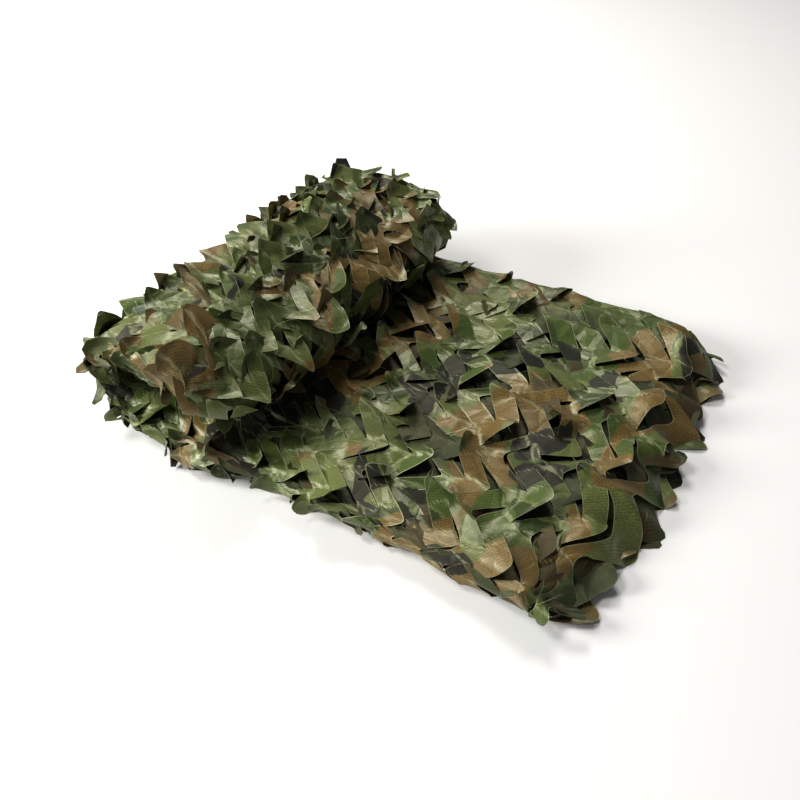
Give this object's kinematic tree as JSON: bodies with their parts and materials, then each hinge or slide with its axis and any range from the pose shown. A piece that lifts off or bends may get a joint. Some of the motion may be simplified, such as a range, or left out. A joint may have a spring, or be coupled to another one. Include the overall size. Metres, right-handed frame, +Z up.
{
  "type": "camouflage net",
  "caption": "Woodland camouflage net of leaf-cut cloth, folded into a flat strip with one end rolled over on itself.",
  "frame": {"origin": "centre of the whole folded net on the surface that it lies on", "axes": "+X along the strip from the roll to its loose end, +Y across the strip from the near fold to the far fold, +Z up"},
  "size_m": [0.6762, 0.5282, 0.1925],
  "materials": {
    "camo_cloth": "satin"
  },
  "bodies": {
    "root": {"net": "camo_cloth"}
  },
  "joints": []
}
